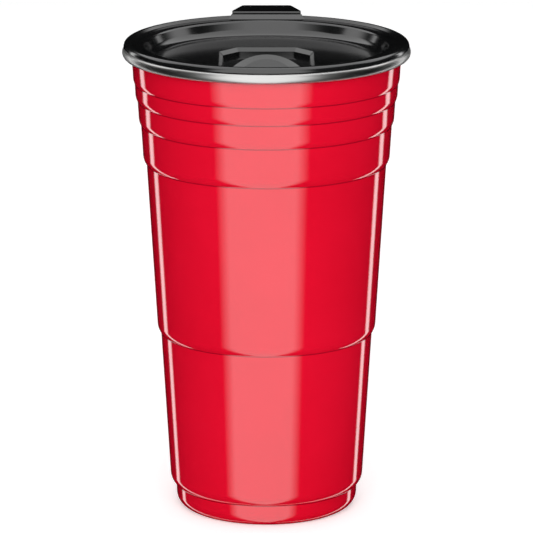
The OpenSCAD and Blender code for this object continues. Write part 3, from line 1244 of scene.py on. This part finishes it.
@dataclass(frozen=True)
class Lid:
    """The press-in lid with its thumb tab. Sizes in millimetres."""

    cup: Cup
    gap: float = 0.3
    inset: float = 0.5
    wrap: float = 35.0
    crown_h: float = 1.8
    crown_w: float = 3.1
    crown_slope: float = 0.8
    edge_round: float = 1.8
    crown_round: float = 0.7
    crown_foot: float = 0.5
    hem_round: float = 0.12
    ring_h: float = 0.8
    ring_w: float = 4.4
    bowl_depth: float = 5.2
    bowl_edge: float = 1.6
    bowl_lean: float = 3.0
    bowl_round: float = 4.5
    open_in: float = 1.0
    thick: float = 1.8
    under_round: float = 3.0
    skirt_t: float = 2.0
    skirt_round: float = 0.6
    skirt_depth: float = 12.6
    gasket_h: float = 3.0
    groove_depth: float = 1.1
    gasket_down: float = 8.0
    nose_slope: float = 0.9
    nose_round: float = 0.22
    gasket_gap: float = 0.05
    tab_over: float = 10.5
    tab_w: float = 25.4
    tab_tip_w: float = 18.3
    tip_round: float = 1.5
    side_round: float = 2.0
    root_w: float = 28.8
    root_round: float = 0.6
    tab_top: float = 3.2
    tab_t: float = 2.2
    tab_len: float = 13.4
    ramp: float = 2.8
    ramp_h: float = 1.5
    ramp_round: float = 1.2
    tab_round: float = 0.5
    pocket_depth: float = 2.6
    pocket_front: float = 4.4
    pocket_bevel: float = 1.3

    @property
    def edge_r(self) -> float:
        """Return the radius of the lid's edge."""
        return self.cup.rim_d / 2 - self.inset

    @property
    def ring_z(self) -> float:
        """Return the height of the flat ring."""
        return self.cup.height + self.ring_h

    @property
    def crown_in(self) -> float:
        """Return the radius where the raised edge ends."""
        return self.edge_r - self.crown_w

    @property
    def bowl_r(self) -> float:
        """Return the radius of the bowl's edge."""
        return self.crown_in - self.ring_w

    @property
    def bowl_z(self) -> float:
        """Return the height of the bowl's floor."""
        return self.ring_z - self.bowl_depth

    @property
    def lean(self) -> float:
        """Return the angle of the bowl's wall."""
        return math.atan2(self.bowl_depth, self.bowl_lean)

    @property
    def floor_r(self) -> float:
        """Return the radius of the bowl's flat floor."""
        return self.bowl_r - self.bowl_lean - self.bowl_round * math.tan(self.lean / 2)

    @property
    def open_r(self) -> float:
        """Return the radius of the opening that the turned disc leaves for the pocket."""
        return self.floor_r - self.open_in

    @property
    def skirt_r(self) -> float:
        """Return the outer radius of the skirt."""
        return self.cup.mouth_r - self.gap

    @property
    def gasket_z(self) -> float:
        """Return the height of the gasket's middle."""
        return self.cup.height - self.gasket_down

    @property
    def under_z(self) -> float:
        """Return the height of the lid's underside."""
        return self.bowl_z - self.thick

    @property
    def closure(self) -> Closure:
        """Return the closure that this lid carries."""
        return Closure(self.pocket_front - self.floor_r, self.bowl_z - self.pocket_depth)

    def draw_top(self, pen: Pen) -> None:
        """Draw the lid's top from the bowl's floor out to the edge.

        Args:
            pen: The pen, on the bowl's floor.
        """
        crown_z = self.cup.height + self.crown_h
        wrapped = math.radians(self.wrap)
        hem_z = self.cup.roll_centre[1] + (self.cup.roll + self.gap) * math.cos(wrapped)
        pen.path([
            Corner(self.open_r, self.bowl_z),
            Corner(self.bowl_r - self.bowl_lean, self.bowl_z, self.bowl_round),
            Corner(self.bowl_r, self.ring_z, self.bowl_edge),
            Corner(self.crown_in, self.ring_z, self.crown_foot),
            Corner(self.crown_in + self.crown_slope, crown_z, self.crown_round),
            Corner(self.edge_r, crown_z, self.edge_round),
            Corner(self.edge_r, hem_z, self.hem_round),
            Corner(self.cup.roll_centre[0] + (self.cup.roll + self.gap) * math.sin(wrapped), hem_z),
        ])

    def draw_under(self, pen: Pen) -> None:
        """Draw the lid's underside from the edge over the rim, down the skirt and in to the floor.

        Args:
            pen: The pen, at the edge's hem.
        """
        half = self.gasket_h / 2
        groove_r = self.skirt_r - self.groove_depth
        inner = self.skirt_r - self.skirt_t
        low = self.cup.height - self.skirt_depth
        shift = self.bowl_r + self.thick / math.sin(self.lean)
        lean_r = shift - (self.ring_z - self.under_z) / math.tan(self.lean)
        lean_top = self.ring_z - (shift - inner) * math.tan(self.lean)
        pen.arc(self.cup.roll_centre, self.wrap)
        pen.arc(self.cup.lip_centre, 90.0, steps=12)
        pen.path([
            Corner(self.skirt_r, self.cup.lip_centre[1]),
            Corner(self.skirt_r, self.gasket_z + half),
            Corner(groove_r, self.gasket_z + half),
            Corner(groove_r, self.gasket_z - half),
            Corner(self.skirt_r, self.gasket_z - half),
            Corner(self.skirt_r, low, self.skirt_round),
            Corner(inner, low, self.skirt_round),
            Corner(inner, lean_top),
            Corner(lean_r, self.under_z, self.under_round),
            Corner(self.open_r, self.under_z),
        ])

    def cut_pocket(self, disc: Blank) -> None:
        """Sink the closure's pocket into the bowl's floor, with its two slots.

        Args:
            disc: The turned disc, open in its middle.
        """
        slide = self.closure
        half = slide.pocket_w / 2
        end = slide.front + slide.pocket_len
        rim = self.pocket_bevel
        wall = self.thick
        top = disc.loop(Plane.PLAN, slide.outline(slide.front, end, half, rim), self.bowl_z)
        edge = disc.loop(Plane.PLAN, slide.outline(slide.front, end, half), self.bowl_z - rim)
        bmesh.ops.bridge_loops(disc.mesh, edges=top + edge)
        floor = disc.sink(edge, self.pocket_depth - rim)
        holes = (slide.drink_slot(), slide.guide_slot())
        slots = [disc.loop(Plane.PLAN, hole, slide.pocket_z) for hole in holes]
        disc.fill(disc.ring(self.open_r, self.bowl_z), top)
        disc.fill(floor, *slots)
        shape = slide.outline(slide.front - wall, end + wall, half + wall)
        under = disc.loop(Plane.PLAN, shape, self.under_z)
        below = disc.sink(under, self.under_z - slide.pocket_z + slide.floor_t)
        disc.fill(disc.ring(self.open_r, self.under_z), under)
        disc.fill(below, *[disc.sink(slot, slide.floor_t) for slot in slots])
        disc.tidy()

    def build_tab(self) -> list[Blank]:
        """Build the thumb tab and the flared ramp that it stands on.

        Returns:
            The tab's plate and its root.
        """
        top = self.cup.height + self.tab_top
        end = self.edge_r + self.tab_over
        start = end - self.tab_len
        plate = Blank()
        outline = plate.loop(Plane.PLAN, [
            Corner(-self.tab_w / 2, start),
            Corner(self.tab_w / 2, start),
            Corner(self.tab_w / 2, self.edge_r, self.side_round),
            Corner(self.tab_tip_w / 2, end, self.tip_round),
            Corner(-self.tab_tip_w / 2, end, self.tip_round),
            Corner(-self.tab_w / 2, self.edge_r, self.side_round),
        ], top - self.tab_t)
        plate.extrude(outline, (0, 0, self.tab_t))
        plate.soften(self.tab_round, segments=4)
        root = Blank()
        sunk = self.ring_z - self.crown_foot
        back = self.crown_in + self.crown_slope
        side = root.loop(Plane.SIDE, [
            Corner(start - self.ramp, sunk),
            Corner(start - self.ramp, self.ring_z),
            Corner(start, self.ring_z + self.ramp_h, self.ramp_round),
            Corner(back, self.ring_z + self.ramp_h),
            Corner(back, sunk),
        ], -self.root_w / 2)
        root.extrude(side, (self.root_w, 0, 0))
        spread = (self.root_w - self.tab_w) / 2
        length = back - start + self.ramp
        for sign in (-1, 1):
            narrow = (sign * self.tab_w / 2, back, self.ring_z)
            root.cut(narrow, (sign * length, spread, 0))
        root.soften(self.root_round, segments=4, sharper=25.0)
        return [plate, root]

    def build_gasket(self, maker: Maker, finish: Finish) -> None:
        """Build the gasket in its groove.

        Args:
            maker: Makes the piece.
            finish: Its finish.
        """
        gasket = Blank()
        low, high = self.gasket_z - self.gasket_h / 2, self.gasket_z + self.gasket_h / 2
        nose = self.cup.mouth_r - self.gasket_gap
        gasket.loop(Plane.SECTION, [
            Corner(self.skirt_r - self.groove_depth, low),
            Corner(self.skirt_r, low),
            Corner(nose, low + self.nose_slope, self.nose_round),
            Corner(nose, high - self.nose_slope, self.nose_round),
            Corner(self.skirt_r, high),
            Corner(self.skirt_r - self.groove_depth, high),
        ])
        gasket.lathe()
        maker.piece("lid_seal_ring", [gasket], finish, ["lid_gasket"])

    def build(self) -> None:
        """Build and dress the lid, its gasket and its closure."""
        maker = Maker(Rider.LID)
        disc = Blank()
        pen = Pen(disc.mesh, Plane.SECTION, (self.open_r, self.bowl_z))
        self.draw_top(pen)
        self.draw_under(pen)
        disc.lathe()
        self.cut_pocket(disc)
        smoke = SmokePlastic("smoke plastic", "smoke_plastic")
        maker.piece("lid_moulding", [disc, *self.build_tab()], smoke, ["lid_body"])
        self.build_gasket(maker, SealSilicone("seal silicone", "grey_silicone"))
        self.closure.build(SmokePlastic(
            "slide plastic", "slider_plastic", colour=(0.0070, 0.0073, 0.0076, 1.0),
            pale=(0.0120, 0.0125, 0.0128, 1.0), roughness=0.17))


@dataclass(frozen=True)
class Studio:
    """The plain white studio, with the panels that the gloss reflects.

    The panels lie on a sphere, and their edges are angles in degrees. A rise goes up from the sphere's
    centre. A turn goes round from the front, to both sides alike apart from front_turns, where right is
    positive. The two angles of a soft edge are where it is dark and where it is lit, or where a change of
    the ceiling's edge starts and ends.
    """

    fill: float = 0.30
    key_watts: float = 36.5
    key_place: Place = (0.0, -1.9, 1.0)
    overhead_share: float = 0.5
    overhead_place: Place = (0.0, 0.2, 2.0)
    lamp_size: float = 1.6
    camera_place: Place = (0.0, -1.5068, 0.4656)
    camera_aim: Place = (0.0, 0.0, 0.0892)
    lens: float = 288.08
    floor_r: float = 9.0
    floor_glow: float = 0.42
    paper: Colour = (0.80, 0.80, 0.80, 1.0)
    paper_pale: Colour = (0.84, 0.84, 0.84, 1.0)
    radius: float = 1.2
    centre_z: float = 0.1
    front: float = 1.75
    front_turns: tuple[float, ...] = (-49.0, -37.0, 28.0, 40.0)
    strip: float = 2.6
    strip_near: Span = (127.0, 131.0)
    strip_far: Span = (140.0, 135.0)
    strip_top: Span = (24.0, 16.0)
    ceiling: float = 1.65
    ceiling_fade: Span = (0.0, 8.0)
    ceiling_rise: float = 45.0
    side_drop: float = 21.0
    side_turn: Span = (88.0, 100.0)
    back_lift: float = 26.0
    back_turn: Span = (145.0, 160.0)

    def build_world(self) -> None:
        """Light the object evenly, and show white behind it and in its reflections."""
        world = bpy.data.worlds.new("white studio")
        world.use_nodes = True
        bench = Bench(world.node_tree)
        ray = bench.node("ShaderNodeLightPath")
        seen = Wire(bench, ray.outputs["Is Camera Ray"]) | Wire(bench, ray.outputs["Is Glossy Ray"])
        seen = seen | Wire(bench, ray.outputs["Is Transmission Ray"])
        even = bench.wire("ShaderNodeBackground", {}, {"Color": WHITE, "Strength": self.fill})
        backdrop = bench.wire("ShaderNodeBackground", {}, {"Color": WHITE, "Strength": 1.0})
        shown = bench.wire("ShaderNodeMixShader", {}, {0: seen, 1: even, 2: backdrop})
        bench.node("ShaderNodeOutputWorld", {}, {"Surface": shown})
        bpy.context.scene.world = world

    def build_floor(self) -> None:
        """Lay the pale floor, which keeps the object's shadow."""
        ground = bmesh.new()
        bmesh.ops.create_circle(ground, cap_ends=True, segments=96, radius=self.floor_r)
        mesh = bpy.data.meshes.new("floor")
        ground.to_mesh(mesh)
        ground.free()
        paper = bpy.data.materials.new("white paper")
        paper.use_nodes = True
        bench = Bench(paper.node_tree)
        ray = bench.wire("ShaderNodeLightPath", output="Is Camera Ray")
        grain = bench.noise(bench.place(), 900.0, 2.0)
        colour = bench.blend(grain, self.paper, self.paper_pale)
        surface = bench.wire("ShaderNodeBsdfPrincipled", {}, {
            "Base Color": colour, "Roughness": 0.9, "Specular IOR Level": 0.0,
            "Emission Color": WHITE, "Emission Strength": ray * self.floor_glow})
        bench.node("ShaderNodeOutputMaterial", {}, {"Surface": surface})
        mesh.materials.append(paper)
        floor = bpy.data.objects.new("floor", mesh)
        bpy.context.collection.objects.link(floor)
        floor.visible_glossy = False

    def build_panels(self) -> None:
        """Surround the object with what its gloss shows: a front box, side strips, a ceiling and black."""
        wall = bmesh.new()
        bmesh.ops.create_uvsphere(wall, u_segments=96, v_segments=48, radius=self.radius)
        bmesh.ops.translate(wall, verts=wall.verts, vec=(0, 0, self.centre_z))
        mesh = bpy.data.meshes.new("panels")
        wall.to_mesh(mesh)
        wall.free()
        cards = bpy.data.materials.new("panels and cards")
        cards.use_nodes = True
        bench = Bench(cards.node_tree)
        x, y, z = bench.axes(bench.place())
        turn = bench.angle(abs(x), y * -1.0)
        rise = bench.angle(z - self.centre_z, (x * x + y * y) ** 0.5)
        glow = (self.front, self.front, self.front, 1.0)
        shades = (BLACK, glow, glow, BLACK)
        stops = [((180.0 + at) / 360.0, shade) for at, shade in zip(self.front_turns, shades)]
        around = bench.angle(x, y * -1.0) / 360.0 + 0.5
        front = bench.wire("ShaderNodeValToRGB", {"stops": stops}, {0: around})
        strips = bench.ramp(turn, *self.strip_near) * bench.ramp(turn, *self.strip_far)
        strips = strips * bench.ramp(rise, *self.strip_top) * self.strip
        edge = self.ceiling_rise - bench.ramp(turn, *self.side_turn) * self.side_drop
        edge = edge + bench.ramp(turn, *self.back_turn) * self.back_lift
        ceiling = bench.ramp(rise - edge, *self.ceiling_fade) * self.ceiling
        light = front | strips | ceiling
        surface = bench.wire("ShaderNodeEmission", {}, {"Color": light, "Strength": 1.0})
        bench.node("ShaderNodeOutputMaterial", {}, {"Surface": surface})
        mesh.materials.append(cards)
        panels = bpy.data.objects.new("panels", mesh)
        bpy.context.collection.objects.link(panels)
        panels.visible_camera = False
        panels.visible_diffuse = False
        panels.visible_shadow = False
        panels.visible_transmission = False

    def build_lamp(self, name: str, place: Place, power: float) -> None:
        """Hang one soft lamp that looks at the cup.

        Args:
            name: The lamp's name.
            place: Where it hangs, in metres.
            power: Its power in watts.
        """
        data = bpy.data.lights.new(name, "AREA")
        data.shape = "SQUARE"
        data.size = self.lamp_size
        data.energy = power
        lamp = bpy.data.objects.new(name, data)
        lamp.location = place
        aim = Vector((0, 0, self.centre_z)) - Vector(place)
        lamp.rotation_euler = aim.to_track_quat("-Z", "Y").to_euler()
        lamp.visible_camera = False
        lamp.visible_glossy = False
        bpy.context.collection.objects.link(lamp)

    def build_camera(self) -> None:
        """Set the camera at the photograph's angle."""
        data = bpy.data.cameras.new("photo view")
        data.lens = self.lens
        data.sensor_width = 36.0
        data.clip_end = 50.0
        camera = bpy.data.objects.new("photo view", data)
        camera.location = self.camera_place
        aim = Vector(self.camera_aim) - camera.location
        camera.rotation_euler = aim.to_track_quat("-Z", "Y").to_euler()
        bpy.context.collection.objects.link(camera)
        bpy.context.scene.camera = camera

    def build(self) -> None:
        """Set up the whole studio."""
        bpy.context.scene.view_settings.view_transform = "Standard"
        self.build_world()
        self.build_floor()
        self.build_panels()
        self.build_lamp("key", self.key_place, self.key_watts)
        self.build_lamp("overhead", self.overhead_place, self.key_watts * self.overhead_share)
        self.build_camera()


def main() -> None:
    """Build the studio and the part."""
    logging.basicConfig(level=logging.INFO, format="%(name)s: %(message)s")
    Studio().build()
    cup = Cup()
    cup.build()
    Lid(cup).build()


if __name__ == "__main__":
    main()
